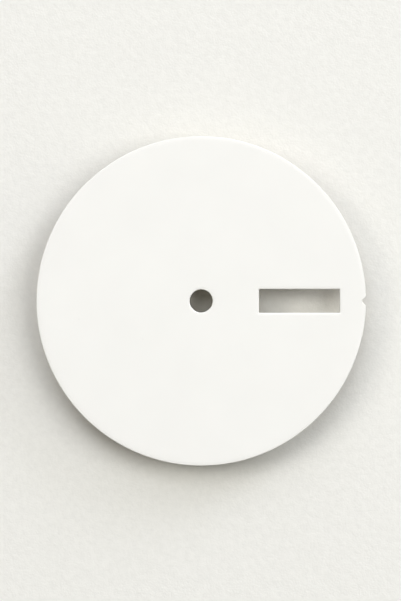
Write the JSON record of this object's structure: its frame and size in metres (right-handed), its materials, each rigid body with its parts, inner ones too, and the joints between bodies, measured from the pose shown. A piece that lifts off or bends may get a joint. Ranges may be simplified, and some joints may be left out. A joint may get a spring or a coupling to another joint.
{
  "type": "watch dial",
  "caption": "Plain white round watch dial with a centre hole, a day-date window and a rim notch at 3 o'clock, on copper feet.",
  "frame": {"origin": "where the axis of the centre hole meets the back of the plate, the face that seats on the movement", "axes": "+Z along the hole's axis out of the white front, +X to 3 o'clock, where the window and the notch are, +Y to 12 o'clock"},
  "size_m": [0.0285, 0.0284, 0.0027],
  "materials": {
    "rolled_brass": "rolled, satin",
    "white_lacquer": "sprayed and baked, satin",
    "drawn_copper": "drawn, satin",
    "silver_braze": "as flowed"
  },
  "bodies": {
    "root": {"dial_plate": "rolled_brass", "white_lacquer": "white_lacquer", "dial_foot_one_oclock": "drawn_copper", "foot_braze_one_oclock": "silver_braze", "dial_foot_two_oclock": "drawn_copper", "foot_braze_two_oclock": "silver_braze", "dial_foot_seven_oclock": "drawn_copper", "foot_braze_seven_oclock": "silver_braze", "dial_foot_eight_oclock": "drawn_copper", "foot_braze_eight_oclock": "silver_braze"}
  },
  "joints": []
}
